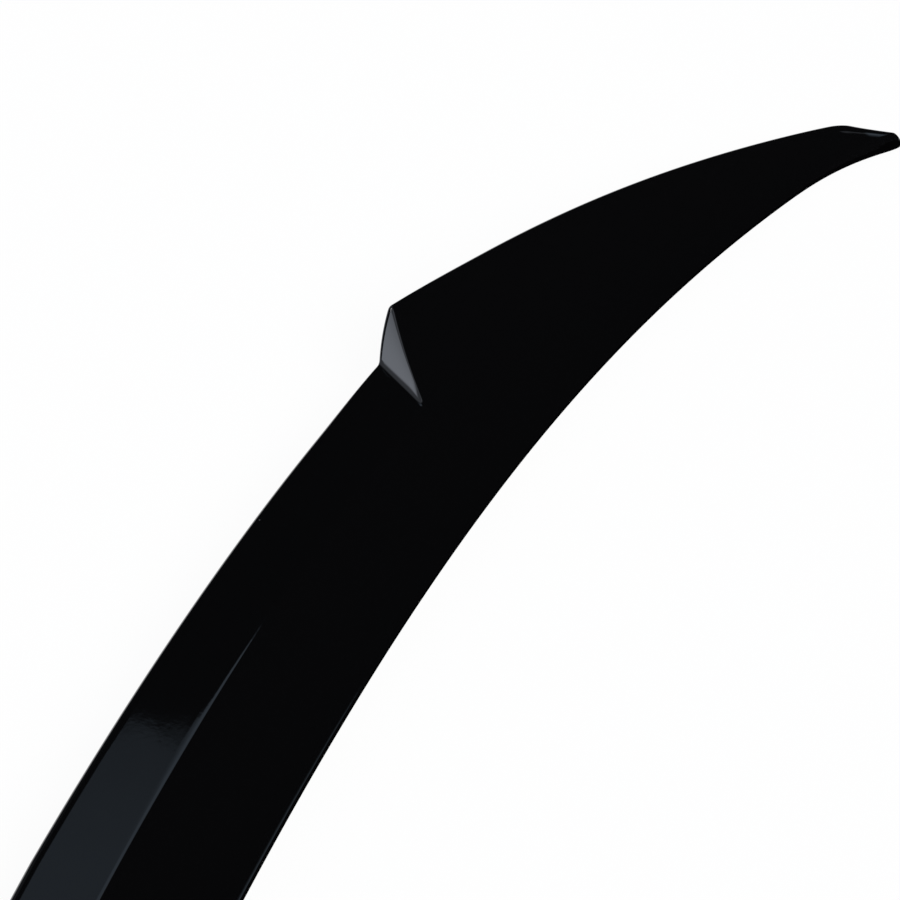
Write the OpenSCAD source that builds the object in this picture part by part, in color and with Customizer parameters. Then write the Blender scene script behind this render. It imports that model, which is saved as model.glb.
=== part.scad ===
// Boot-lid lip spoiler: a low centre section with a creased, flat-topped trailing edge, and on each
// side a step up to a raised wing that tapers to a short cut end. One plastic moulding, open below,
// with bonding lands and ribs, and four strips of foam tape that hold it to the lid.
// X runs along the spoiler, +Y towards the front of the car, +Z up.

/* [Plan shape] */
// Half of the length, to the rear corner of each end
half_length = 620; // [560:1:700]
// Forward sweep of the leading edge at the ends, from its gentle curve
lead_sweep = 56; // [20:1:90]
// Further forward sweep at the ends, from the curve that tightens outwards
lead_curl = 45.5; // [10:0.5:80]
// Extra forward flare of the leading edge at each end
nose_flare = 11; // [0:0.5:14]
// Length over which the end flares forward
nose_run = 62; // [40:1:100]
// Thickness of the blunt nose at each end
nose_thickness = 7.5; // [3:0.5:8]
// Depth, front to back, over which the nose rises to that thickness
nose_width = 5; // [4:0.5:8]
// How much further out the front of an end lies than its rear corner
nose_reach = 4; // [0:0.5:8]
// Radius that rounds each end
end_round = 8; // [4:0.5:10]

/* [Centre section] */
// Width of the ramp, from the leading edge to the crease
ramp_chord = 46.5; // [42:0.5:52]
// Height of the crease above the leading edge
ramp_height = 20; // [16:0.5:24]
// Slope of the top at the leading edge, in degrees
lead_angle = 8; // [3:1:12]
// Half of the width over which the crease is rounded
crease_round = 1.5; // [0.5:0.25:3]
// Width of the flat facet behind the crease, in the middle
facet_chord = 34.5; // [28:0.5:40]
// Width of the flat facet at the step
facet_chord_step = 30.8; // [26:0.1:36]
// Rise of the facet from the crease to the trailing edge
facet_rise = 1; // [0:0.25:3]
// How far the foot of the rear wall stands in from the trailing edge
rear_undercut = 8; // [4:0.5:12]
// Hollow of the rear wall between its edge and its foot
rear_hollow = 2.5; // [0:0.25:4]

/* [Wings] */
// Distance from the middle to the foot of the step, at the trailing edge
step_x = 351; // [310:1:400]
// How far the step's front point lies nearer the middle
step_run = 22; // [12:1:30]
// How much wider the wing is than the centre section at the step
wing_kick = 6.6; // [0:0.1:10]
// Width of the wing at its end, without the flare
wing_chord_end = 16; // [12:0.5:24]
// Fullness of the wing's trailing edge between the step and the end
wing_fullness = 28; // [10:1:36]
// How much of that fullness is shifted towards the end
wing_shift = 14; // [0:0.5:20]
// Height of the wing's trailing edge above the leading edge, at the step
wing_height = 42.5; // [36:0.5:50]
// Height of the wing's trailing edge at the end
wing_height_end = 10; // [8:0.5:14]
// Bow of the wing's trailing edge above a straight fall
wing_bow = 2.6; // [0:0.2:5]

/* [Step and edges] */
// Radius of the fillet at the foot of the step, at the trailing edge
step_fillet = 4; // [2:0.5:8]
// Radius of the same fillet towards the front point of the step
step_fillet_front = 5; // [3:0.5:12]
// Lean of the step wall, from its foot to its top, measured along the spoiler
step_lean = 16; // [8:1:24]
// Radius of the step wall's upper edge, at the trailing edge
step_round = 3; // [1:0.25:4]
// Radius of the same edge towards the front point of the step
step_round_front = 0.8; // [0.4:0.1:2]
// Thickness of the leading edge
lead_thickness = 2; // [1.6:0.1:3]
// Angle by which the leading edge's front face is tucked under, in degrees
lead_tuck = 24; // [0:1:30]
// Radius of the trailing edge
trailing_round = 3; // [2:0.1:3.4]
// Radius of the trailing edge where it climbs the step
trailing_round_step = 1; // [0.6:0.1:2]
// Length over which the radius of the trailing edge changes, on each side of the step
trailing_round_change = 60; // [30:5:100]

/* [Boot lid] */
// Rise of the boot lid from the ends of the spoiler to its middle
lid_crown = 14; // [8:0.5:20]

/* [Skin and ribs] */
// Thickness of the top skin
skin = 3; // [2.4:0.1:3.6]
// Thickness of the rear wall
rear_wall = 3; // [2.4:0.1:3.6]
// Width of the front bonding land, in the middle
front_land = 12; // [12:0.5:15]
// Width of the front bonding land, at the ends
front_land_end = 11; // [10.6:0.2:12]
// Width of the rear flange, in the middle
rear_flange = 13; // [12:0.5:16]
// Width of the rear flange, at the ends
rear_flange_end = 10; // [8:0.5:11]
// Thickness of the rear flange
flange_thickness = 3; // [2.4:0.1:4]
// Solid length left at each end
end_solid = 34; // [28:1:60]
// Number of ribs on each side of the middle one
ribs_per_side = 7; // [5:1:9]
// Distance between ribs
rib_pitch = 80; // [60:1:82]
// Thickness of a rib at the skin
rib_root = 2.6; // [2:0.1:3.4]
// Thickness of a rib at its free edge
rib_edge = 1.8; // [1.4:0.1:2]
// How far the ribs stop short of the lid
rib_recess = 4; // [3.5:0.5:6]

/* [Tape] */
// Width of the foam tape
tape_width = 6; // [5:0.5:6.5]
// Thickness of the foam tape
tape_thickness = 1.2; // [0.8:0.1:1.6]
// Depth of the groove that the tape lies in
tape_groove = 0.6; // [0.3:0.1:0.7]
// Margin between a tape groove and the outer edge
tape_margin = 2.6; // [2:0.2:3.4]
// Play of a tape in its groove, along its sides
tape_play = 0.3; // [0.2:0.05:0.5]
// Layer of adhesive between a tape and its groove
tape_bond = 0.05; // [0.02:0.01:0.1]
// Distance from the middle to the inner end of each tape
tape_start = 6; // [4:1:20]
// Distance from the end of the spoiler to the outer end of each tape
tape_stop = 30; // [24:1:60]

/* [Hidden] */

gloss_black = [0.02, 0.02, 0.023];
foam_grey = [0.22, 0.22, 0.23];
// How finely the moulding is divided
centre_stations = 13;
step_stations = 13;
wing_stations = 19;
end_steps = 4;
ramp_points = 8;
rear_points = 4;
ceiling_points = 10;
round_points = 4;
wall_points = 3;
tape_stations = 16;
// Where the front point of the step has its small width, and how far a cut runs past a face
point_half_width = 1.5;
overshoot = 2;
least_hollow = 0.8;

tape_proud = tape_thickness - tape_groove + tape_bond;
apex_x = step_x - step_run;
apex_chord = ridge_chord(apex_x);
// The power of the wing's sweep that puts the crease on the wing's own surface
lead_slope = tan(lead_angle);
sweep_up = ln((ramp_height - lead_thickness - lead_slope * ramp_chord)
              / (full_wing_height(apex_x) - lead_thickness - lead_slope * apex_chord))
    / ln(ramp_chord / apex_chord);
step_rise = wing_height - ramp_height - facet_rise;
step_slope = atan2(step_rise, step_lean);
fillet_run = step_fillet * tan(step_slope / 2);
round_run = step_round * tan(step_slope / 2);
step_whole_run = fillet_run + step_lean + round_run;
// Where each row of points lies across the top: 0 leading edge, 1 crease, 2 trailing edge
crease_step = crease_round / ramp_chord;
rows_across = concat([for (i = [0 : ramp_points - 1]) i / ramp_points],
                     [1 - crease_step, 1, 1 + crease_step],
                     [for (i = [1 : rear_points]) 1 + i / rear_points]);
// Where the front edge of each tape lies, measured back from the leading edge
front_tape_at = function(x) tape_margin + tape_play;
rear_tape_at = function(x) foot_chord(x) - tape_margin - tape_play - tape_width;
// The middle of the outline is moved to Y = 0, and the lowest corner to Z = 0
outline = [for (section = outer_half()) each section];
outline_y = [for (p = outline) p[1]];
middle_y = (max(outline_y) + min(outline_y)) / 2;
floor_z = min([for (p = concat(outline, [for (t = tape_sections(rear_tape_at)) each t])) p[2]]);

function mix(a, b, t) = a + (b - a) * t;

// The boot lid and the plan of the leading edge
function lid_height(x) = tape_proud + lid_crown * (1 - pow(x / half_length, 2));
function plain_lead_y(x) = lead_sweep * pow(x / half_length, 2) + lead_curl * pow(x / half_length, 4);
function flare(x) = nose_flare * pow(max(0, x - half_length + nose_run) / nose_run, 3);
function lead_y(x) = plain_lead_y(x) + flare(x);
function edge_thickness(x) =
    mix(lead_thickness, nose_thickness, pow(max(0, x - half_length + nose_run) / nose_run, 2));

// The wing: its width and height at a distance x from the middle
function along_wing(x) = (x - step_x) / (half_length - step_x);
function full_wing_chord(x) =
    let (q = along_wing(x))
    mix(centre_chord(step_x) + wing_kick, wing_chord_end, q) + wing_fullness * q * (1 - q)
        - wing_shift * q * (1 - q) * (1 - 2 * q) + flare(x);
function full_wing_height(x) =
    let (q = along_wing(x))
    mix(wing_height, wing_height_end, q) + 4 * wing_bow * q * (1 - q);

// The trailing edge is rounded less where it climbs the step
function round_at(x) =
    let (away = x < step_x ? step_x - x : max(0, x - step_x - step_lean),
         t = min(1, away / trailing_round_change))
    mix(trailing_round_step, trailing_round, t * t * (3 - 2 * t));
// The top of a wing's edge stands in from the back of its rounding
function ridge_chord(x) = full_wing_chord(x) - 1.5 * round_at(x);

// The foot of the leading edge lies behind its front line
function lead_inset(x) = lead_thickness * tan(lead_tuck);

// The centre section
function centre_facet(x) = mix(facet_chord, facet_chord_step, x / step_x);
function centre_chord(x) = ramp_chord + centre_facet(x);

// The foot of the rear wall is one smooth line, and the lid lies straight between it and the front
function foot_chord(x) =
    x < step_x ? centre_chord(x) - rear_undercut
    : full_wing_chord(x) - (rear_undercut + wing_kick) * (1 - along_wing(x));
function base_height(x, c) =
    tape_proud + (lid_height(x) - tape_proud) * (1 - c / foot_chord(x));

// Height of the top above the lid's front line. lift is 0 on the centre section and 1 on a wing
function sweep(c, thickness, height, chord) =
    thickness + lead_slope * c
        + (height - thickness - lead_slope * chord) * pow(max(c, 0) / chord, sweep_up);
function centre_top(x, c) =
    let (past = c - ramp_chord, facet_slope = facet_rise / centre_facet(x),
         ramp = sweep(c, lead_thickness, ramp_height, ramp_chord),
         bend = facet_slope - lead_slope
             - (ramp_height - lead_thickness - lead_slope * ramp_chord) * sweep_up / ramp_chord)
    past <= -crease_round ? ramp
    : past >= crease_round ? ramp_height + facet_slope * past
    : ramp + bend * pow(past + crease_round, 2) / (4 * crease_round);
function wing_top(x, c) =
    sweep(c, edge_thickness(x), full_wing_height(x), ridge_chord(x))
        - (edge_thickness(x) - lead_thickness) * pow(max(0, 1 - c / nose_width), 2);
function slope_of(x, c, wing) =
    wing ? (wing_top(x, c) - wing_top(x, c - 1)) : (centre_top(x, c) - centre_top(x, c - 1));

// A section is given by where it stands on the ramp and on the trailing edge, and by its way up the
// step wall: 0 on the centre section and 1 on a wing.
// across is 0 at the leading edge, 1 at the crease and 2 at the trailing edge
function line_x(station, across) =
    mix(station[0], station[1], max(0, across - 1)) + station[3] * (2 - across) / 2;

function crease_chord(x, wing) = wing ? ridge_chord(x) * ramp_chord / apex_chord : ramp_chord;
function top_chord(x, across, wing) =
    let (crease = crease_chord(x, wing))
    crease * min(across, 1) + (edge_chord(x, wing) - crease) * max(0, across - 1);

// Where the top ends and the round of the trailing edge begins
function edge_angle(x, wing) =
    wing ? atan(slope_of(x, full_wing_chord(x) - round_at(x), true)) : atan(facet_rise / facet_chord);
function edge_chord(x, wing) =
    (wing ? full_wing_chord(x) : centre_chord(x)) - round_at(x) * (1 + sin(edge_angle(x, wing)));

function top_point(x, across, wing) =
    let (c = top_chord(x, across, wing))
    [x, lead_y(x) - c, lid_height(x) + (wing ? wing_top(x, c) : centre_top(x, c))];

function round_centre(x, wing) =
    let (c = edge_chord(x, wing), a = edge_angle(x, wing))
    [c + round_at(x) * sin(a),
     lid_height(x) + (wing ? wing_top(x, c) : centre_top(x, c)) - round_at(x) * cos(a)];
function round_point(x, turn, wing) =
    let (o = round_centre(x, wing), a = mix(90 + edge_angle(x, wing), 0, turn))
    [x, lead_y(x) - o[0] - round_at(x) * cos(a), o[1] + round_at(x) * sin(a)];
function wall_point(x, down, wing) =
    let (o = round_centre(x, wing), foot = foot_chord(x), c = o[0] + round_at(x),
         hollow = rear_hollow * sin(180 * down) * min(1, (o[1] - tape_proud) / ramp_height))
    [x, lead_y(x) - mix(c, foot, down) + hollow, mix(o[1], tape_proud, down)];

function blend(x, lift, f) =
    lift <= 0 ? f(x, false) : lift >= 1 ? f(x, true) : mix(f(x, false), f(x, true), lift);

// The step wall leans at one slope. Its fillet and its rounded upper edge change from front to rear.
// way is 0 at the foot and 1 at the top, and the answer is the lift there
function wall_lift(way, across) =
    let (back = max(0, across - 1), run = mix(2 * point_half_width, step_whole_run, back),
         most = run / sin(step_slope) / 2.05,
         low_r = min(most, mix(step_fillet_front, step_fillet, back)),
         high_r = min(most, mix(step_round_front, step_round, back)),
         rise = (run - (low_r + high_r) * tan(step_slope / 2)) * tan(step_slope), x = way * run,
         z = x < low_r * sin(step_slope) ? low_r - sqrt(low_r * low_r - x * x)
           : run - x < high_r * sin(step_slope)
               ? rise - high_r + sqrt(max(0, high_r * high_r - pow(run - x, 2)))
           : (x - low_r * tan(step_slope / 2)) * tan(step_slope))
    z / rise;
function lift_at(station, across) =
    let (way = station[2]) way <= 0 ? 0 : way >= 1 ? 1 : wall_lift(way, across);

// One outer section, from the top of the leading edge over the trailing edge to the foot
function outer_section(station) =
    let (lift = lift_at(station, 2), rear_x = line_x(station, 2))
    [for (across = rows_across)
        blend(line_x(station, across), lift_at(station, across),
              function(x, wing) top_point(x, across, wing)),
     for (i = [1 : round_points])
        blend(rear_x, lift, function(x, wing) round_point(x, i / round_points, wing)),
     for (i = [1 : wall_points])
        blend(rear_x, lift, function(x, wing) wall_point(x, i / wall_points, wing)),
     let (x = line_x(station, 0), c = lead_inset(x)) [x, lead_y(x) - c, base_height(x, c)]];

// The ends are rounded by drawing the last sections in from the front, the back and the top
function drawn_in(section, amount) =
    let (front = section[0][1], back = section[len(section) - 2][1],
         scale_y = (front - back - 2 * amount) / (front - back), middle = (front + back) / 2,
         high = max([for (p = section) p[2]]), low = min([for (p = section) p[2]]),
         scale_z = (high - low - amount / 2) / (high - low))
    [for (p = section) [p[0], middle + (p[1] - middle) * scale_y, low + (p[2] - low) * scale_z]];

// Stations of one half: place on the ramp, place on the trailing edge, lift, reach of the nose
function foot_rear(shift) = step_x - fillet_run + shift;
function top_rear(shift) = step_x + step_lean + round_run + shift;
function centre_line(shift, count) =
    [for (i = [0 : count])
        [i / count * (apex_x - point_half_width + shift), i / count * foot_rear(shift), 0, 0]];
// The stations of the step stand closer together at its foot, and one more stands near its top
function step_line(shift, count) =
    [for (w = concat([for (i = [1 : count - 1]) pow(i / count, 1.5)], [0.95, 1]))
        [mix(apex_x - point_half_width, apex_x + point_half_width, w) + shift,
         mix(foot_rear(shift), top_rear(shift), w), w, 0]];
function wing_line(shift, count, reach, short) =
    [for (i = [0 : count])
        let (t = i / count)
        [mix(apex_x + point_half_width + shift, half_length - short, t),
         mix(top_rear(shift), half_length - short, t), 1, reach * t * t]];

function outer_half() =
    concat([for (s = centre_line(0, centre_stations)) outer_section(s)],
           [for (s = step_line(0, step_stations)) outer_section(s)],
           [for (s = wing_line(0, wing_stations, nose_reach, end_round)) outer_section(s)],
           [for (i = [1 : end_steps])
               let (a = 90 * i / end_steps, x = half_length - end_round * (1 - sin(a)))
               drawn_in(outer_section([x, x, 1, nose_reach]), end_round * (1 - cos(a)) / 2)]);

// One section of the hollow, from the inner edge of the front land to that of the rear flange
function land_at(x) = mix(front_land, front_land_end, x / half_length);
function flange_at(x) = mix(rear_flange, rear_flange_end, x / half_length);
// Near the step the hollow under the centre section also stays inside the wing's rear wall
function inside_chord(x, wing) =
    let (own = edge_chord(x, true))
    (wing ? own : min(own, edge_chord(x, false))) + round_at(x) - rear_wall - rear_hollow;
function ceiling_point(x, across, wing) =
    let (start = land_at(x),
         stop = inside_chord(x, wing),
         bend = min(crease_chord(x, wing), stop - 1),
         c = across < 1 ? mix(start, bend, across) : mix(bend, stop, across - 1),
         top = wing ? wing_top(x, c) : centre_top(x, c),
         m = slope_of(x, c, wing))
    [x, lead_y(x) - c,
     max(lid_height(x) + top - skin * sqrt(1 + m * m), base_height(x, c) + least_hollow)];
function hollow_section(station) =
    let (lift = lift_at(station, 2), x0 = line_x(station, 0), x2 = line_x(station, 2),
         wall = foot_chord(x2) - rear_wall, lip = foot_chord(x2) - flange_at(x2),
         above = min(flange_thickness, blend(x2, lift, function(x, wing) ceiling_point(x, 2, wing))[2]
             - base_height(x2, wall) - least_hollow))
    [[x0, lead_y(x0) - land_at(x0), base_height(x0, land_at(x0)) - overshoot],
     for (i = [0 : ceiling_points])
        let (across = 2 * i / ceiling_points)
        blend(line_x(station, across), lift_at(station, across),
              function(x, wing) ceiling_point(x, across, wing)),
     [x2, lead_y(x2) - wall, base_height(x2, wall) + above],
     [x2, lead_y(x2) - lip, base_height(x2, lip) + above],
     [x2, lead_y(x2) - lip, base_height(x2, lip) - overshoot]];
function hollow_half() =
    let (shift = 1.5 * skin)
    concat([for (s = centre_line(shift, centre_stations)) hollow_section(s)],
           [for (s = step_line(shift, 2)) hollow_section(s)],
           [for (s = wing_line(shift, wing_stations - 4, 0, end_solid)) hollow_section(s)]);

// A loft through a half and its mirror image, closed at both ends
function mirrored(section) = [for (p = section) [-p[0], p[1], p[2]]];
function both_halves(half) =
    concat([for (i = [len(half) - 1 : -1 : 1]) mirrored(half[i])], half);

module loft(sections, fan) {
    n = len(sections[0]);
    last = len(sections) - 1;
    points = [for (s = sections) for (p = s) p - [0, middle_y, floor_z]];
    sides = [for (i = [0 : last - 1]) for (j = [0 : n - 1])
        let (k = (j + 1) % n, a = i * n + j, b = i * n + k, c = a + n, d = b + n)
        each [[a, d, b], [a, c, d]]];
    first_cap = [for (j = [1 : n - 2]) [fan, (fan + j) % n, (fan + j + 1) % n]];
    last_cap = [for (t = first_cap) [for (k = [2 : -1 : 0]) t[k] + last * n]];
    polyhedron(points, concat(sides, first_cap, last_cap), convexity = 6);
}

module outer_form() {
    sections = both_halves(outer_half());
    loft(sections, len(sections[0]) - 2);
}

module hollow_form() {
    sections = both_halves(hollow_half());
    loft(sections, len(sections[0]) - 2);
}

// A rib fills the hollow at x, down to its free edge, which follows the lid
module rib(x) {
    reach = abs(x);
    front = lead_y(reach) - land_at(reach) + overshoot;
    back = lead_y(reach) - foot_chord(reach) - rear_undercut;
    low_front = base_height(reach, land_at(reach)) + rib_recess;
    low_back = base_height(reach, foot_chord(reach)) + rib_recess;
    high = lid_height(reach) + wing_height;
    translate([x, -middle_y, -floor_z])
        hull() {
            for (end = [[front, low_front], [back, low_back]]) {
                translate([-rib_edge / 2, end[0], end[1]]) cube([rib_edge, 0.1, 0.1]);
                translate([-rib_root / 2, end[0], high]) cube([rib_root, 0.1, 0.1]);
            }
        }
}

// A strip that follows the lid: chord_at gives its front edge, low and high are above the lid
function strip(chord_at, start, stop, width, low, high) =
    [for (i = [0 : tape_stations])
        let (x = mix(start, stop, i / tape_stations), c = chord_at(x), y = lead_y(x))
        [[x, y - c, base_height(x, c) + high],
         [x, y - c - width, base_height(x, c + width) + high],
         [x, y - c - width, base_height(x, c + width) + low],
         [x, y - c, base_height(x, c) + low]]];

function tape_sections(chord_at) =
    strip(chord_at, tape_start, half_length - tape_stop, tape_width, -tape_proud,
          tape_groove - tape_bond);
function groove_sections(chord_at) =
    strip(function(x) chord_at(x) - tape_play, tape_start - tape_play,
          half_length - tape_stop + tape_play, tape_width + 2 * tape_play, -overshoot, tape_groove);

module tape(chord_at) {
    color(foam_grey) loft(tape_sections(chord_at), 0);
}

module spoiler_moulding() {
    color(gloss_black)
        difference() {
            outer_form();
            difference() {
                hollow_form();
                for (i = [-ribs_per_side : ribs_per_side]) rib(i * rib_pitch);
            }
            for (side = [0, 1]) mirror([side, 0, 0]) {
                loft(groove_sections(front_tape_at), 0);
                loft(groove_sections(rear_tape_at), 0);
            }
        }
}

module front_tape_left() { mirror([1, 0, 0]) tape(front_tape_at); }
module front_tape_right() { tape(front_tape_at); }
module rear_tape_left() { mirror([1, 0, 0]) tape(rear_tape_at); }
module rear_tape_right() { tape(rear_tape_at); }

spoiler_moulding();
front_tape_left();
front_tape_right();
rear_tape_left();
rear_tape_right();
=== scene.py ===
import math
from collections import namedtuple

import bpy
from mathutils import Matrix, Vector


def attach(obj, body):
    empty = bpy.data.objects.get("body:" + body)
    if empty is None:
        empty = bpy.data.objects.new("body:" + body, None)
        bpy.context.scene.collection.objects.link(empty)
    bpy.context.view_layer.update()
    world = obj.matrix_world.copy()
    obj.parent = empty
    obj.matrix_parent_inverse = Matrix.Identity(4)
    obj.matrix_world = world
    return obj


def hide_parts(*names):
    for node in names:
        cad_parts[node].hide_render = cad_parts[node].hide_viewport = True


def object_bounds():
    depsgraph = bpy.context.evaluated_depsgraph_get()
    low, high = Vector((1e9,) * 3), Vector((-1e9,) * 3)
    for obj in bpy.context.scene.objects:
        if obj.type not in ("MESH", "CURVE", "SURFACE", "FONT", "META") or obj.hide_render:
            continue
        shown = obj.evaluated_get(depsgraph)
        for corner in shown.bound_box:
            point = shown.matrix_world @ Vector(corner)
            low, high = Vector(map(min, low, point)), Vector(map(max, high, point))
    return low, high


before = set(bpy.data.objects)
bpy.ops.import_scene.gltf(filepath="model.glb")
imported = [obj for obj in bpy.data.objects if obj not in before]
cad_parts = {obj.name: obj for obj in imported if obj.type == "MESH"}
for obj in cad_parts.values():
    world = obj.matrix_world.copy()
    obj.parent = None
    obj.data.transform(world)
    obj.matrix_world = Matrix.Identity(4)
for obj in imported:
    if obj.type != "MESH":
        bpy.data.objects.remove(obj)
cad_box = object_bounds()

bpy.ops.object.select_all(action="DESELECT")
MM = 0.001

# Plan shape, in millimetres, as in the part's source
half_length = 620.0
lead_sweep = 56.0
lead_curl = 45.5
nose_flare = 11.0
nose_run = 62.0
nose_thickness = 7.5
nose_width = 5.0
nose_reach = 4.0
end_round = 8.0

# Centre section
ramp_chord = 46.5
ramp_height = 20.0
lead_angle = 8.0
crease_round = 1.5
facet_chord = 34.5
facet_chord_step = 30.8
facet_rise = 1.0
rear_undercut = 8.0
rear_hollow = 2.5

# Wings
step_x = 351.0
step_run = 22.0
wing_kick = 6.6
wing_chord_end = 16.0
wing_fullness = 28.0
wing_shift = 14.0
wing_height = 42.5
wing_height_end = 10.0
wing_bow = 2.6

# Step and edges
step_fillet = 4.0
step_fillet_front = 5.0
step_lean = 16.0
step_round = 3.0
step_round_front = 0.8
lead_thickness = 2.0
lead_tuck = 24.0
lead_round_share = 0.42
trailing_round = 3.0
trailing_round_step = 1.0
trailing_round_change = 60.0
ridge_rounds = 1.5

# Boot lid, skin, ribs and tape
lid_crown = 14.0
skin = 3.0
rear_wall = 3.0
front_land = 12.0
front_land_end = 11.0
rear_flange = 13.0
rear_flange_end = 10.0
flange_thickness = 3.0
end_solid = 34.0
ribs_per_side = 7
rib_pitch = 80.0
rib_root = 2.6
rib_edge = 1.8
rib_recess = 4.0
tape_width = 6.0
tape_thickness = 1.2
tape_groove = 0.6
tape_margin = 2.6
tape_play = 0.3
tape_bond = 0.05
tape_start = 6.0
tape_stop = 30.0
tape_ease = 0.12

# Small distances that keep the shapes sound
point_half_width = 1.5
overshoot = 2.0
least_hollow = 0.8
slope_probe = 1.0
nose_probe = 0.2
below_box_top = 0.001
round_spare = 2.05

# How finely the meshes follow the form: rows across a section, and stations along one half
nose_rows = 5
ramp_rows = 30
ramp_crowding = 1.4
crease_rows = 3
facet_rows = 14
round_rows = 10
wall_rows = 8
ceiling_rows = 10
centre_stations = 70
step_stations = 56
wing_stations = 110
end_stations = 8
hollow_centre_stations = 40
hollow_step_stations = 10
hollow_wing_stations = 50
tape_stations = 150


def mix(a, b, t):
    return a + (b - a) * t


# Sizes that follow from the others
tape_proud = tape_thickness - tape_groove + tape_bond
apex_x = step_x - step_run
lead_slope = math.tan(math.radians(lead_angle))
lead_inset = lead_thickness * math.tan(math.radians(lead_tuck))
step_rise = wing_height - ramp_height - facet_rise
step_slope = math.atan2(step_rise, step_lean)
fillet_run = step_fillet * math.tan(step_slope / 2)
round_run = step_round * math.tan(step_slope / 2)
step_whole_run = fillet_run + step_lean + round_run
hollow_shift = 1.5 * skin


# The boot lid and the plan of the leading edge
def lid_height(x):
    return tape_proud + lid_crown * (1 - (x / half_length) ** 2)


def along_nose(x):
    return max(0.0, x - half_length + nose_run) / nose_run


def flare(x):
    return nose_flare * along_nose(x) ** 3


def lead_y(x):
    s = x / half_length
    return lead_sweep * s ** 2 + lead_curl * s ** 4 + flare(x)


def edge_thickness(x):
    return mix(lead_thickness, nose_thickness, along_nose(x) ** 2)


# The wing: its width and height at a distance x from the middle
def along_wing(x):
    return (x - step_x) / (half_length - step_x)


def full_wing_chord(x):
    q = along_wing(x)
    return (mix(centre_chord(step_x) + wing_kick, wing_chord_end, q) + wing_fullness * q * (1 - q)
            - wing_shift * q * (1 - q) * (1 - 2 * q) + flare(x))


def full_wing_height(x):
    q = along_wing(x)
    return mix(wing_height, wing_height_end, q) + 4 * wing_bow * q * (1 - q)


# The trailing edge is rounded less where it climbs the step
def round_at(x):
    away = step_x - x if x < step_x else max(0.0, x - step_x - step_lean)
    t = min(1.0, away / trailing_round_change)
    return mix(trailing_round_step, trailing_round, t * t * (3 - 2 * t))


# The top of a wing's edge stands in from the back of its rounding
def ridge_chord(x):
    return full_wing_chord(x) - ridge_rounds * round_at(x)


# The centre section
def centre_facet(x):
    return mix(facet_chord, facet_chord_step, x / step_x)


def centre_chord(x):
    return ramp_chord + centre_facet(x)


# The foot of the rear wall is one smooth line, and the lid lies straight between it and the front
def foot_chord(x):
    if x < step_x:
        return centre_chord(x) - rear_undercut
    return full_wing_chord(x) - (rear_undercut + wing_kick) * (1 - along_wing(x))


def base_height(x, c):
    return tape_proud + (lid_height(x) - tape_proud) * (1 - c / foot_chord(x))


# The hollow curve of the ramp also passes through the ridge of the wing at the step's apex
apex_chord = ridge_chord(apex_x)
sweep_up = (math.log((ramp_height - lead_thickness - lead_slope * ramp_chord)
                     / (full_wing_height(apex_x) - lead_thickness - lead_slope * apex_chord))
            / math.log(ramp_chord / apex_chord))


# Height of the top above the lid's front line, on the centre section and on a wing
def sweep(c, thickness, height, chord):
    return (thickness + lead_slope * c
            + (height - thickness - lead_slope * chord) * (max(c, 0.0) / chord) ** sweep_up)


def centre_top(x, c):
    past = c - ramp_chord
    facet_slope = facet_rise / centre_facet(x)
    ramp = sweep(c, lead_thickness, ramp_height, ramp_chord)
    if past <= -crease_round:
        return ramp
    if past >= crease_round:
        return ramp_height + facet_slope * past
    bend = (facet_slope - lead_slope
            - (ramp_height - lead_thickness - lead_slope * ramp_chord) * sweep_up / ramp_chord)
    return ramp + bend * (past + crease_round) ** 2 / (4 * crease_round)


def wing_top(x, c):
    return (sweep(c, edge_thickness(x), full_wing_height(x), ridge_chord(x))
            - (edge_thickness(x) - lead_thickness) * max(0.0, 1 - c / nose_width) ** 2)


def top(x, c, wing):
    return wing_top(x, c) if wing else centre_top(x, c)


def slope_of(x, c, wing):
    return (top(x, c, wing) - top(x, c - slope_probe, wing)) / slope_probe


# A station says where a section stands on the ramp and on the trailing edge, its way up the step
# wall, from 0 on the centre section to 1 on a wing, and how far its nose reaches outwards.
# across is 0 at the leading edge, 1 at the crease and 2 at the trailing edge
Station = namedtuple("Station", "ramp_x rear_x way reach")


def line_x(station, across):
    return (mix(station.ramp_x, station.rear_x, max(0.0, across - 1))
            + station.reach * (2 - across) / 2)


def crease_chord(x, wing):
    return ridge_chord(x) * ramp_chord / apex_chord if wing else ramp_chord


# Where the top ends and the round of the trailing edge begins
def edge_angle(x, wing):
    if wing:
        return math.atan(slope_of(x, full_wing_chord(x) - round_at(x), True))
    return math.atan(facet_rise / facet_chord)


def edge_chord(x, wing):
    full = full_wing_chord(x) if wing else centre_chord(x)
    return full - round_at(x) * (1 + math.sin(edge_angle(x, wing)))


# The leading edge has a small round between the top and the front face, which is tucked under
def nose_round(x, wing):
    steep = math.atan((top(x, nose_probe, wing) - top(x, 0, wing)) / nose_probe)
    tuck, r = math.radians(lead_tuck), lead_round_share * lead_thickness
    lean = math.cos(steep - tuck)
    back = r * (math.sin(tuck) + math.cos(steep)) / lean
    down = r * (math.cos(tuck) - math.sin(steep)) / lean
    return r, steep, back, down


def nose_point(x, turn, wing):
    r, steep, back, down = nose_round(x, wing)
    a = mix(-math.radians(lead_tuck), math.pi / 2 - steep, turn)
    return Vector((x, lead_y(x) - back + r * math.cos(a),
                   lid_height(x) + lead_thickness - down + r * math.sin(a)))


def top_chord(x, across, wing):
    crease = crease_chord(x, wing)
    if across <= 1:
        r, steep, back, down = nose_round(x, wing)
        return mix(back - r * math.sin(steep), crease, across)
    return mix(crease, edge_chord(x, wing), across - 1)


def top_point(x, across, wing):
    c = top_chord(x, across, wing)
    return Vector((x, lead_y(x) - c, lid_height(x) + top(x, c, wing)))


def round_centre(x, wing):
    c = edge_chord(x, wing)
    a = edge_angle(x, wing)
    return (c + round_at(x) * math.sin(a),
            lid_height(x) + top(x, c, wing) - round_at(x) * math.cos(a))


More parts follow.
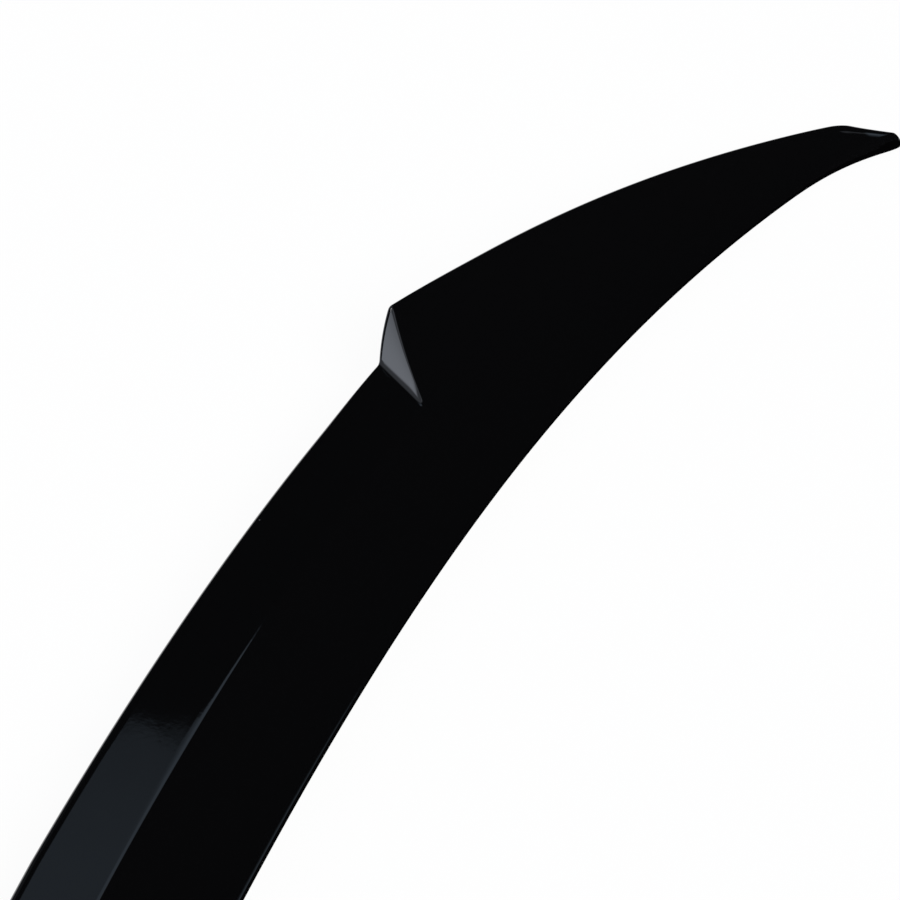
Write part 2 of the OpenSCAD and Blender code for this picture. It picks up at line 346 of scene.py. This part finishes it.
def round_point(x, turn, wing):
    chord, height = round_centre(x, wing)
    a = mix(math.pi / 2 + edge_angle(x, wing), 0, turn)
    return Vector((x, lead_y(x) - chord - round_at(x) * math.cos(a),
                   height + round_at(x) * math.sin(a)))


def wall_point(x, down, wing):
    chord, height = round_centre(x, wing)
    hollow = rear_hollow * math.sin(math.pi * down) * min(1.0, (height - tape_proud) / ramp_height)
    return Vector((x, lead_y(x) - mix(chord + round_at(x), foot_chord(x), down) + hollow,
                   mix(height, tape_proud, down)))


def blend(x, lift, place, value):
    """A point between the centre section's form and the wing's."""
    if lift <= 0:
        return place(x, value, False)
    if lift >= 1:
        return place(x, value, True)
    return mix(place(x, value, False), place(x, value, True), lift)


# Rows over the top, closer together at the leading edge and on the crease
def steps(start, stop, count):
    return [mix(start, stop, i / count) for i in range(count)]


crease_front = 1 - crease_round / ramp_chord
crease_back = 1 + crease_round / facet_chord_step
rows_across = ([crease_front * (i / ramp_rows) ** ramp_crowding for i in range(ramp_rows)]
               + steps(crease_front, 1, crease_rows) + steps(1, crease_back, crease_rows)
               + steps(crease_back, 2, facet_rows) + [2])


# The step wall leans at one slope. Its fillet and its rounded upper edge change from front to rear
def wall_lift(way, across):
    back = max(0.0, across - 1)
    run = mix(2 * point_half_width, step_whole_run, back)
    most = run / math.sin(step_slope) / round_spare
    low_r = min(most, mix(step_fillet_front, step_fillet, back))
    high_r = min(most, mix(step_round_front, step_round, back))
    rise = (run - (low_r + high_r) * math.tan(step_slope / 2)) * math.tan(step_slope)
    x = way * run
    if x < low_r * math.sin(step_slope):
        z = low_r - math.sqrt(low_r ** 2 - x ** 2)
    elif run - x < high_r * math.sin(step_slope):
        z = rise - high_r + math.sqrt(max(0.0, high_r ** 2 - (run - x) ** 2))
    else:
        z = (x - low_r * math.tan(step_slope / 2)) * math.tan(step_slope)
    return z / rise


def lift_at(station, across):
    if station.way <= 0:
        return 0.0
    if station.way >= 1:
        return 1.0
    return wall_lift(station.way, across)


# One outer section: up round the leading edge, over the top, round the trailing edge, down the rear
# wall to its foot, and the foot of the leading edge
def outer_section(station):
    x0, x2 = line_x(station, 0), line_x(station, 2)
    front_lift, rear_lift = lift_at(station, 0), lift_at(station, 2)
    section = [blend(x0, front_lift, nose_point, i / nose_rows) for i in range(nose_rows)]
    section += [blend(line_x(station, a), lift_at(station, a), top_point, a) for a in rows_across]
    section += [blend(x2, rear_lift, round_point, i / round_rows) for i in range(1, round_rows + 1)]
    section += [blend(x2, rear_lift, wall_point, i / wall_rows) for i in range(1, wall_rows + 1)]
    section.append(Vector((x0, lead_y(x0) - lead_inset, base_height(x0, lead_inset))))
    return section


# The ends are rounded by drawing the last sections in from the front, the back and the top
def drawn_in(section, amount):
    front, back = max(p.y for p in section), section[-2].y
    scale_y = (front - back - 2 * amount) / (front - back)
    middle = (front + back) / 2
    high, low = max(p.z for p in section), min(p.z for p in section)
    scale_z = (high - low - amount / 2) / (high - low)
    return [Vector((p.x, middle + (p.y - middle) * scale_y, low + (p.z - low) * scale_z))
            for p in section]


# Stations of one half: the centre section, the step and the wing
def centre_line(shift, count):
    return [Station(i / count * (apex_x - point_half_width + shift),
                    i / count * (step_x - fillet_run + shift), 0.0, 0.0) for i in range(count + 1)]


def step_line(shift, count):
    return [Station(mix(apex_x - point_half_width, apex_x + point_half_width, i / count) + shift,
                    step_x - fillet_run + shift + i / count * step_whole_run, i / count, 0.0)
            for i in range(1, count + 1)]


def wing_line(shift, count, reach, short):
    stop = half_length - short
    line = []
    for i in range(count + 1):
        t = i / count
        line.append(Station(mix(apex_x + point_half_width + shift, stop, t),
                            mix(step_x + step_lean + round_run + shift, stop, t), 1.0, reach * t * t))
    return line


def outer_half():
    stations = centre_line(0, centre_stations) + step_line(0, step_stations)
    stations += wing_line(0, wing_stations, nose_reach, end_round)
    sections = [outer_section(s) for s in stations]
    for i in range(1, end_stations + 1):
        a = math.pi / 2 * i / end_stations
        x = half_length - end_round * (1 - math.sin(a))
        section = outer_section(Station(x, x, 1.0, nose_reach))
        sections.append(drawn_in(section, end_round * (1 - math.cos(a)) / 2))
    return sections


# The hollow below, from the inner edge of the front land to that of the rear flange
def land_at(x):
    return mix(front_land, front_land_end, x / half_length)


def flange_at(x):
    return mix(rear_flange, rear_flange_end, x / half_length)


def inside_chord(x, wing):
    own = edge_chord(x, True)
    if not wing:
        own = min(own, edge_chord(x, False))
    return own + round_at(x) - rear_wall - rear_hollow


def ceiling_point(x, across, wing):
    start, stop = land_at(x), inside_chord(x, wing)
    bend = min(crease_chord(x, wing), stop - 1)
    c = mix(start, bend, across) if across < 1 else mix(bend, stop, across - 1)
    z = lid_height(x) + top(x, c, wing) - skin * math.sqrt(1 + slope_of(x, c, wing) ** 2)
    return Vector((x, lead_y(x) - c, max(z, base_height(x, c) + least_hollow)))


def hollow_section(station):
    x0, x2, lift = line_x(station, 0), line_x(station, 2), lift_at(station, 2)
    land = land_at(x0)
    wall = foot_chord(x2) - rear_wall
    lip = foot_chord(x2) - flange_at(x2)
    headroom = blend(x2, lift, ceiling_point, 2).z - base_height(x2, wall) - least_hollow
    above = min(flange_thickness, headroom)
    section = [Vector((x0, lead_y(x0) - land, base_height(x0, land) - overshoot))]
    for i in range(2 * ceiling_rows + 1):
        across = i / ceiling_rows
        section.append(blend(line_x(station, across), lift_at(station, across), ceiling_point, across))
    section.append(Vector((x2, lead_y(x2) - wall, base_height(x2, wall) + above)))
    section.append(Vector((x2, lead_y(x2) - lip, base_height(x2, lip) + above)))
    section.append(Vector((x2, lead_y(x2) - lip, base_height(x2, lip) - overshoot)))
    return section


def hollow_half():
    stations = centre_line(hollow_shift, hollow_centre_stations)
    stations += step_line(hollow_shift, hollow_step_stations)
    stations += wing_line(hollow_shift, hollow_wing_stations, 0, end_solid)
    return [hollow_section(s) for s in stations]


# The tapes and their grooves run along the front land and the rear flange
def front_tape_at(x):
    return tape_margin + tape_play


def rear_tape_at(x):
    return foot_chord(x) - tape_margin - tape_play - tape_width


def strip(chord_at, start, stop, width, low, high):
    sections = []
    for i in range(tape_stations + 1):
        x = mix(start, stop, i / tape_stations)
        c, y = chord_at(x), lead_y(x)
        sections.append([Vector((x, y - c, base_height(x, c) + high)),
                         Vector((x, y - c - width, base_height(x, c + width) + high)),
                         Vector((x, y - c - width, base_height(x, c + width) + low)),
                         Vector((x, y - c, base_height(x, c) + low))])
    return sections


def tape_sections(chord_at):
    return strip(chord_at, tape_start, half_length - tape_stop, tape_width,
                 low=-tape_proud, high=tape_groove - tape_bond)


def groove_sections(chord_at):
    return strip(lambda x: chord_at(x) - tape_play, tape_start - tape_play,
                 half_length - tape_stop + tape_play, tape_width + 2 * tape_play,
                 low=-overshoot, high=tape_groove)


# The middle of the outline lies at Y = 0, and the lowest corner at Z = 0
outer = outer_half()
plan = [p.y for s in outer for p in s]
middle_y = (max(plan) + min(plan)) / 2
floor_z = min(p.z for s in outer + tape_sections(rear_tape_at) for p in s)
highest = cad_box[1][2] / MM - below_box_top


def mirrored(section):
    return [Vector((-p.x, p.y, p.z)) for p in section]


def both_halves(half):
    return [mirrored(s) for s in half[:0:-1]] + half


def loft(name, sections):
    """A grid rolled round the sections, its seam merged and its two ends closed."""
    rings, around = len(sections), len(sections[0])
    bpy.ops.mesh.primitive_grid_add(x_subdivisions=around, y_subdivisions=rings - 1, size=2)
    piece = bpy.context.object
    piece.name = name
    order = sorted(piece.data.vertices, key=lambda v: (round(v.co.y, 5), round(v.co.x, 5)))
    for k, v in enumerate(order):
        ring, j = divmod(k, around + 1)
        p = sections[ring][j % around]
        v.co = Vector((p.x, p.y - middle_y, min(p.z - floor_z, highest))) * MM
    bpy.ops.object.mode_set(mode="EDIT")
    bpy.ops.mesh.select_all(action="SELECT")
    bpy.ops.mesh.remove_doubles(threshold=1e-7)
    bpy.ops.mesh.select_all(action="DESELECT")
    bpy.ops.mesh.select_non_manifold(extend=False, use_wire=False, use_multi_face=False,
                                     use_non_contiguous=False, use_verts=False)
    bpy.ops.mesh.edge_face_add()
    bpy.ops.mesh.select_all(action="SELECT")
    bpy.ops.mesh.normals_make_consistent(inside=False)
    bpy.ops.object.mode_set(mode="OBJECT")
    return piece


def select_only(piece):
    bpy.ops.object.select_all(action="DESELECT")
    piece.select_set(True)
    bpy.context.view_layer.objects.active = piece


def cut(piece, tool):
    select_only(piece)
    change = piece.modifiers.new("cut", "BOOLEAN")
    change.operation = "DIFFERENCE"
    change.solver = "EXACT"
    change.object = tool
    bpy.ops.object.modifier_apply(modifier=change.name)
    bpy.data.objects.remove(tool)


def rib(x):
    """One rib, tapered to its free edge, which follows the lid."""
    reach = abs(x)
    land, foot = land_at(reach), foot_chord(reach)
    front = lead_y(reach) - land + overshoot
    back = lead_y(reach) - foot - rear_undercut
    high = lid_height(reach) + wing_height
    bpy.ops.mesh.primitive_cube_add(size=2)
    piece = bpy.context.object
    for v in piece.data.vertices:
        width = rib_root if v.co.z > 0 else rib_edge
        y, chord = (front, land) if v.co.y > 0 else (back, foot)
        z = high if v.co.z > 0 else base_height(reach, chord) + rib_recess
        v.co = Vector((x + v.co.x * width / 2, y - middle_y, z - floor_z)) * MM
    return piece


# Nodes that the materials, the floor and the room share. A node's input takes a number or the
# output of another node
def feed(links, value, socket):
    if isinstance(value, (int, float)):
        socket.default_value = value
    else:
        links.new(value, socket)


def math_node(nodes, links, operation, a, b):
    node = nodes.new("ShaderNodeMath")
    node.operation = operation
    feed(links, a, node.inputs[0])
    feed(links, b, node.inputs[1])
    return node.outputs[0]


def new_material(name):
    material = bpy.data.materials.new(name)
    material.use_nodes = True
    nodes, links = material.node_tree.nodes, material.node_tree.links
    return material, nodes, links


def noise(nodes, links, place, scale, detail):
    node = nodes.new("ShaderNodeTexNoise")
    node.inputs["Scale"].default_value = scale
    node.inputs["Detail"].default_value = detail
    links.new(place, node.inputs["Vector"])
    return node.outputs["Fac"]


def cells(nodes, links, place, scale):
    node = nodes.new("ShaderNodeTexVoronoi")
    node.inputs["Scale"].default_value = scale
    links.new(place, node.inputs["Vector"])
    return node.outputs["Distance"]


def two_tones(nodes, links, value, low, high):
    """A colour that changes from low to high, each a value and the colour there."""
    node = nodes.new("ShaderNodeValToRGB")
    for stop, (position, colour) in zip(node.color_ramp.elements, (low, high)):
        stop.position = position
        stop.color = (*colour, 1)
    links.new(value, node.inputs["Fac"])
    return node.outputs["Color"]


def bump(nodes, links, height, distance, strength, before=None):
    node = nodes.new("ShaderNodeBump")
    node.inputs["Distance"].default_value = distance
    node.inputs["Strength"].default_value = strength
    links.new(height, node.inputs["Height"])
    if before:
        links.new(before, node.inputs["Normal"])
    return node.outputs["Normal"]


# Gloss black paint over black plastic: clear, deep, with a faint waviness and a little dust
def gloss_paint():
    material, nodes, links = new_material("gloss_black_paint")
    shader = nodes["Principled BSDF"]
    place = nodes.new("ShaderNodeTexCoord").outputs["Object"]
    specks = cells(nodes, links, place, scale=45.0)
    dusty = two_tones(nodes, links, specks, low=(0.012, (0.07, 0.07, 0.073)),
                      high=(0.02, (0.0018, 0.0018, 0.0020)))
    links.new(dusty, shader.inputs["Base Color"])
    shader.inputs["Roughness"].default_value = 0.35
    shader.inputs["Specular IOR Level"].default_value = 0.0
    shader.inputs["Coat Weight"].default_value = 1.0
    shader.inputs["Coat Roughness"].default_value = 0.025
    shader.inputs["Coat IOR"].default_value = 1.5
    wide = noise(nodes, links, place, scale=14.0, detail=1.0)
    waves = bump(nodes, links, wide, distance=0.00004, strength=1.0)
    fine = noise(nodes, links, place, scale=320.0, detail=2.0)
    peel = bump(nodes, links, fine, distance=0.000003, strength=1.0, before=waves)
    links.new(peel, shader.inputs["Coat Normal"])
    return material


# The thin front edge, made matt and darker than the gloss paint: painted shade, so that the edge shows
# no reflection of the floor
def matt_painted_shade_edge():
    material, nodes, links = new_material("matt_black_painted_shade_edge")
    shader = nodes["Principled BSDF"]
    place = nodes.new("ShaderNodeTexCoord").outputs["Object"]
    # Near black, darker than the paint's own black, with no gloss: painted shade
    shader.inputs["Base Color"].default_value = (0.0009, 0.0009, 0.0010, 1)
    shader.inputs["Roughness"].default_value = 0.6
    shader.inputs["Specular IOR Level"].default_value = 0.0
    fine = noise(nodes, links, place, scale=1800.0, detail=2.0)
    grain = bump(nodes, links, fine, distance=0.00002, strength=0.5)
    links.new(grain, shader.inputs["Normal"])
    return material


# The bare plastic inside, with the fine grain of the mould
def bare_plastic():
    material, nodes, links = new_material("bare_black_plastic")
    shader = nodes["Principled BSDF"]
    place = nodes.new("ShaderNodeTexCoord").outputs["Object"]
    cloud = noise(nodes, links, place, scale=40.0, detail=3.0)
    clouded = two_tones(nodes, links, cloud, low=(0.3, (0.010, 0.010, 0.011)),
                        high=(0.7, (0.016, 0.016, 0.017)))
    links.new(clouded, shader.inputs["Base Color"])
    shader.inputs["Roughness"].default_value = 0.42
    fine = noise(nodes, links, place, scale=1800.0, detail=2.0)
    grain = bump(nodes, links, fine, distance=0.00003, strength=0.6)
    links.new(grain, shader.inputs["Normal"])
    return material


# Closed-cell foam with fine pores
def foam():
    material, nodes, links = new_material("grey_foam_tape")
    shader = nodes["Principled BSDF"]
    place = nodes.new("ShaderNodeTexCoord").outputs["Object"]
    pores = cells(nodes, links, place, scale=2600.0)
    porous = two_tones(nodes, links, pores, low=(0.1, (0.035, 0.035, 0.037)),
                       high=(0.6, (0.085, 0.085, 0.088)))
    links.new(porous, shader.inputs["Base Color"])
    shader.inputs["Roughness"].default_value = 0.85
    shader.inputs["Specular IOR Level"].default_value = 0.3
    pitted = bump(nodes, links, pores, distance=0.00008, strength=0.8)
    links.new(pitted, shader.inputs["Normal"])
    return material


paint = gloss_paint()
painted_shade_black = matt_painted_shade_edge()
plastic = bare_plastic()
foam_grey = foam()

# The matt strip of painted shade: faces that look forwards, and either not far upwards or just behind
# the edge
looks_forwards = 0.3
looks_upwards = 0.45
shade_strip_width = 0.8

# Edges sharper than these angles stay sharp, and those of the tape are eased
moulding_smooth_angle = 28
tape_smooth_angle = 35
tape_ease_angle = 50


def mark_painted_shade_strip(moulding, slot):
    for face in moulding.data.polygons:
        behind_edge = lead_y(abs(face.center.x) / MM) - face.center.y / MM - middle_y
        thin = face.normal.z < looks_upwards or behind_edge < shade_strip_width
        if face.normal.y > looks_forwards and thin:
            face.material_index = slot


# The moulding: the outer form, hollowed between its ribs, with a groove for each tape
def spoiler_moulding():
    moulding = loft("spoiler_moulding_body", both_halves(outer))
    for finish in (paint, plastic, painted_shade_black):
        moulding.data.materials.append(finish)
    # The forward faces along the front edge get the matt black of painted shade
    mark_painted_shade_strip(moulding, 2)
    hollow = loft("hollow", both_halves(hollow_half()))
    for i in range(-ribs_per_side, ribs_per_side + 1):
        cut(hollow, rib(i * rib_pitch))
    tools = [hollow]
    for chord_at in (front_tape_at, rear_tape_at):
        right = groove_sections(chord_at)
        tools.append(loft("groove", right))
        tools.append(loft("groove", [mirrored(s) for s in right]))
    for tool in tools:
        tool.data.materials.clear()
        tool.data.materials.append(plastic)
        cut(moulding, tool)
    select_only(moulding)
    bpy.ops.object.shade_smooth_by_angle(angle=math.radians(moulding_smooth_angle))
    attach(moulding, "root")
    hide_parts("spoiler_moulding")


# Each tape: a strip with its long edges eased
def tape(name, node, sections):
    piece = loft(name, sections)
    select_only(piece)
    ease = piece.modifiers.new("ease", "BEVEL")
    ease.width = tape_ease * MM
    ease.segments = 2
    ease.limit_method = "ANGLE"
    ease.angle_limit = math.radians(tape_ease_angle)
    bpy.ops.object.modifier_apply(modifier=ease.name)
    bpy.ops.object.shade_smooth_by_angle(angle=math.radians(tape_smooth_angle))
    piece.data.materials.clear()
    piece.data.materials.append(foam_grey)
    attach(piece, "root")
    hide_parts(node)


spoiler_moulding()
for place, chord_at in (("front", front_tape_at), ("rear", rear_tape_at)):
    right = tape_sections(chord_at)
    tape(place + "_foam_right", place + "_tape_right", right)
    tape(place + "_foam_left", place + "_tape_left", [mirrored(s) for s in right])

# A white floor that keeps the spoiler's shadow and shows white to the camera and in the gloss
floor_side = 120
floor_tone = 0.95
floor_shown_white = 0.95


def white_floor():
    bpy.ops.mesh.primitive_plane_add(size=floor_side, location=(0, 0, 0))
    floor = bpy.context.object
    floor.name = "floor"
    material, nodes, links = new_material("white_floor")
    nodes.clear()
    ray = nodes.new("ShaderNodeLightPath").outputs
    seen = math_node(nodes, links, "MAXIMUM", ray["Is Camera Ray"], ray["Is Glossy Ray"])
    seen = math_node(nodes, links, "MAXIMUM", seen, ray["Is Transmission Ray"])
    share = math_node(nodes, links, "MULTIPLY", seen, floor_shown_white)
    matt = nodes.new("ShaderNodeBsdfDiffuse")
    matt.inputs["Color"].default_value = (floor_tone, floor_tone, floor_tone, 1)
    bright = nodes.new("ShaderNodeEmission")
    bright.inputs["Strength"].default_value = 1.0
    both = nodes.new("ShaderNodeMixShader")
    links.new(share, both.inputs["Fac"])
    links.new(matt.outputs[0], both.inputs[1])
    links.new(bright.outputs[0], both.inputs[2])
    out = nodes.new("ShaderNodeOutputMaterial")
    links.new(both.outputs[0], out.inputs["Surface"])
    floor.data.materials.append(material)


white_floor()


def direction(azimuth, elevation):
    a, e = math.radians(azimuth), math.radians(elevation)
    return Vector((math.cos(a) * math.cos(e), math.sin(a) * math.cos(e), math.sin(e)))


class Room:
    """The world's nodes, and the sums on the ray's direction that its lights are made of."""

    def __init__(self):
        world = bpy.data.worlds.new("room")
        bpy.context.scene.world = world
        world.use_nodes = True
        self.nodes, self.links = world.node_tree.nodes, world.node_tree.links
        self.nodes.clear()
        self.ray = self.nodes.new("ShaderNodeTexCoord").outputs["Generated"]
        self.height = self.along((0, 0, 1))

    def along(self, axis):
        node = self.nodes.new("ShaderNodeVectorMath")
        node.operation = "DOT_PRODUCT"
        node.inputs[1].default_value = axis
        self.links.new(self.ray, node.inputs[0])
        return node.outputs["Value"]

    def calculate(self, operation, a, b):
        return math_node(self.nodes, self.links, operation, a, b)

    def times(self, a, b):
        return self.calculate("MULTIPLY", a, b)

    def plus(self, a, b):
        return self.calculate("ADD", a, b)

    def brighter(self, a, b):
        return self.calculate("MAXIMUM", a, b)

    def edge(self, value, gone, full):
        """A soft edge of a light: 0 where value is at gone, 1 where it is at full."""
        node = self.nodes.new("ShaderNodeMapRange")
        node.interpolation_type = "SMOOTHSTEP"
        node.inputs["From Min"].default_value = gone
        node.inputs["From Max"].default_value = full
        self.links.new(value, node.inputs["Value"])
        return node.outputs["Result"]

    def tinted(self, value, tint):
        node = self.nodes.new("ShaderNodeVectorMath")
        node.operation = "SCALE"
        node.inputs[0].default_value = tint
        self.links.new(value, node.inputs["Scale"])
        return node.outputs[0]

    def show(self, first, second):
        """Both colours together become the room's light."""
        both = self.nodes.new("ShaderNodeVectorMath")
        self.links.new(first, both.inputs[0])
        self.links.new(second, both.inputs[1])
        back = self.nodes.new("ShaderNodeBackground")
        self.links.new(both.outputs[0], back.inputs["Color"])
        out = self.nodes.new("ShaderNodeOutputWorld")
        self.links.new(back.outputs[0], out.inputs["Surface"])


# The dim card that the flat facet shows: back runs backwards along its foot, up runs upwards.
# Its foot climbs towards the front, its rear edge leans, and both are a little ragged
card_azimuth = 198
card_elevation = 42
card_foot_climb = 0.3
card_rear_lean = 0.6
card_ragged = 0.012
card_ragged_scale = 150.0


def facet_card(room):
    toward = room.along(direction(card_azimuth, card_elevation))
    back = room.along(direction(card_azimuth + 90, 0))
    rag = noise(room.nodes, room.links, room.ray, scale=card_ragged_scale, detail=1.0)
    up = room.plus(room.along(direction(card_azimuth, card_elevation + 90)),
                   room.times(room.plus(rag, -0.5), card_ragged))
    above_foot = room.plus(up, room.times(room.calculate("MINIMUM", back, 0.0), card_foot_climb))
    past_rear = room.plus(back, room.times(up, -card_rear_lean))
    nearer_front = room.edge(back, gone=0.012, full=-0.03)
    higher_up = room.edge(up, gone=0.004, full=0.045)
    card = room.edge(toward, gone=0.3, full=0.5)
    for part in (room.edge(above_foot, gone=0.0035, full=0.007),
                 room.edge(up, gone=0.35, full=0.2),
                 room.edge(back, gone=-0.25, full=-0.22),
                 room.edge(past_rear, gone=0.04, full=0.024),
                 room.plus(room.times(nearer_front, 0.9), 1.0),
                 room.plus(room.times(higher_up, 0.25), 0.78)):
        card = room.times(card, part)
    return card


# Behind the spoiler, two soft cards at half height and two brighter glows at the horizon, which the
# step walls and their fillets show
behind_azimuth = 270
behind_card_turn = 8
behind_card_elevation = 42
behind_glow_turn = 12
behind_glow_elevation = 2
glow_edge = 0.7
glow_sharpness = 5.0


def behind_card(room, side):
    toward = direction(behind_azimuth - side * behind_card_turn, behind_card_elevation)
    return room.edge(room.along(toward), gone=0.76, full=0.97)


def behind_glow(room, side):
    toward = direction(behind_azimuth + side * behind_glow_turn, behind_glow_elevation)
    inside = room.brighter(room.calculate("SUBTRACT", room.along(toward), glow_edge), 0.0)
    return room.calculate("POWER", room.calculate("DIVIDE", inside, 1 - glow_edge), glow_sharpness)


# A narrow dim strip high on the left, which only the rounded tip shows
tip_strip_azimuth = 172
tip_strip_elevation = 49


def tip_strip(room):
    toward = room.along(direction(tip_strip_azimuth, tip_strip_elevation))
    strip_height = room.times(room.edge(room.height, gone=0.735, full=0.748),
                              room.edge(room.height, gone=0.80, full=0.765))
    return room.times(strip_height, room.edge(toward, gone=0.9936, full=0.9965))


# How bright each light of the room is, and the colours of the card and of the others
darkness = 0.010
band_strength = 0.92
overhead_strength = 1.0
behind_card_strength = 0.6
behind_glow_strength = 2.65
tip_strip_strength = 0.32
facet_card_strength = 0.27
room_tint = (0.86, 0.92, 1.04)
facet_card_tint = (0.76, 0.96, 1.20)


# A dark room, with a pale band at the horizon and a soft light overhead besides the lights above
def light_room():
    room = Room()
    band = room.edge(room.height, gone=0.035, full=0.01)
    overhead = room.edge(room.height, gone=0.92, full=0.985)
    cards = room.brighter(behind_card(room, 1), behind_card(room, -1))
    glows = room.brighter(behind_glow(room, 1), behind_glow(room, -1))
    total = room.plus(room.brighter(room.times(band, band_strength),
                                    room.times(glows, behind_glow_strength)), darkness)
    for part, strength in ((overhead, overhead_strength), (cards, behind_card_strength),
                           (tip_strip(room), tip_strip_strength)):
        total = room.plus(total, room.times(part, strength))
    card = room.times(facet_card(room), facet_card_strength)
    room.show(room.tinted(total, room_tint), room.tinted(card, facet_card_tint))


light_room()

# One soft light, from the front and the right
key_azimuth = 45
key_elevation = 42
key_strength = 3.2
key_width = 36


def key_light():
    toward = direction(key_azimuth, key_elevation)
    data = bpy.data.lights.new("key_light", "SUN")
    data.energy = key_strength
    data.angle = math.radians(key_width)
    lamp = bpy.data.objects.new("key_light", data)
    bpy.context.collection.objects.link(lamp)
    lamp.rotation_euler = toward.to_track_quat("Z", "Y").to_euler()
    lamp.location = toward * 3


key_light()

# The camera stands where the photograph was taken from. It aims so that the target, a point on the
# object in millimetres, falls on its pixel
camera_turn = 18.13
camera_drop = 39.07
camera_away = 2400.0
target_x = -300
target_y = -0.5
target_z = 20
target_pixel_x = 459.85
target_pixel_y = 474.76
pixels_per_mm = 2.31
picture_side = 900
sensor_side = 36


def camera():
    turn, drop = math.radians(camera_turn), math.radians(camera_drop)
    look = Vector((-math.cos(turn) * math.cos(drop), -math.sin(turn) * math.cos(drop), -math.sin(drop)))
    right = Vector((-math.sin(turn), math.cos(turn), 0))
    up = right.cross(look)
    target = Vector((target_x, target_y - middle_y, target_z - floor_z + tape_proud))
    place = target - look * camera_away
    aim = (target + right * (picture_side / 2 - target_pixel_x) / pixels_per_mm
           + up * (target_pixel_y - picture_side / 2) / pixels_per_mm)
    data = bpy.data.cameras.new("camera")
    data.lens = sensor_side * pixels_per_mm * camera_away / picture_side
    data.sensor_width = sensor_side
    data.clip_start = 0.05
    data.clip_end = 400
    eye = bpy.data.objects.new("camera", data)
    bpy.context.collection.objects.link(eye)
    eye.location = place * MM
    eye.rotation_euler = (aim - place).to_track_quat("-Z", "Y").to_euler()
    bpy.context.scene.camera = eye


camera()
bpy.context.scene.view_settings.view_transform = "Standard"
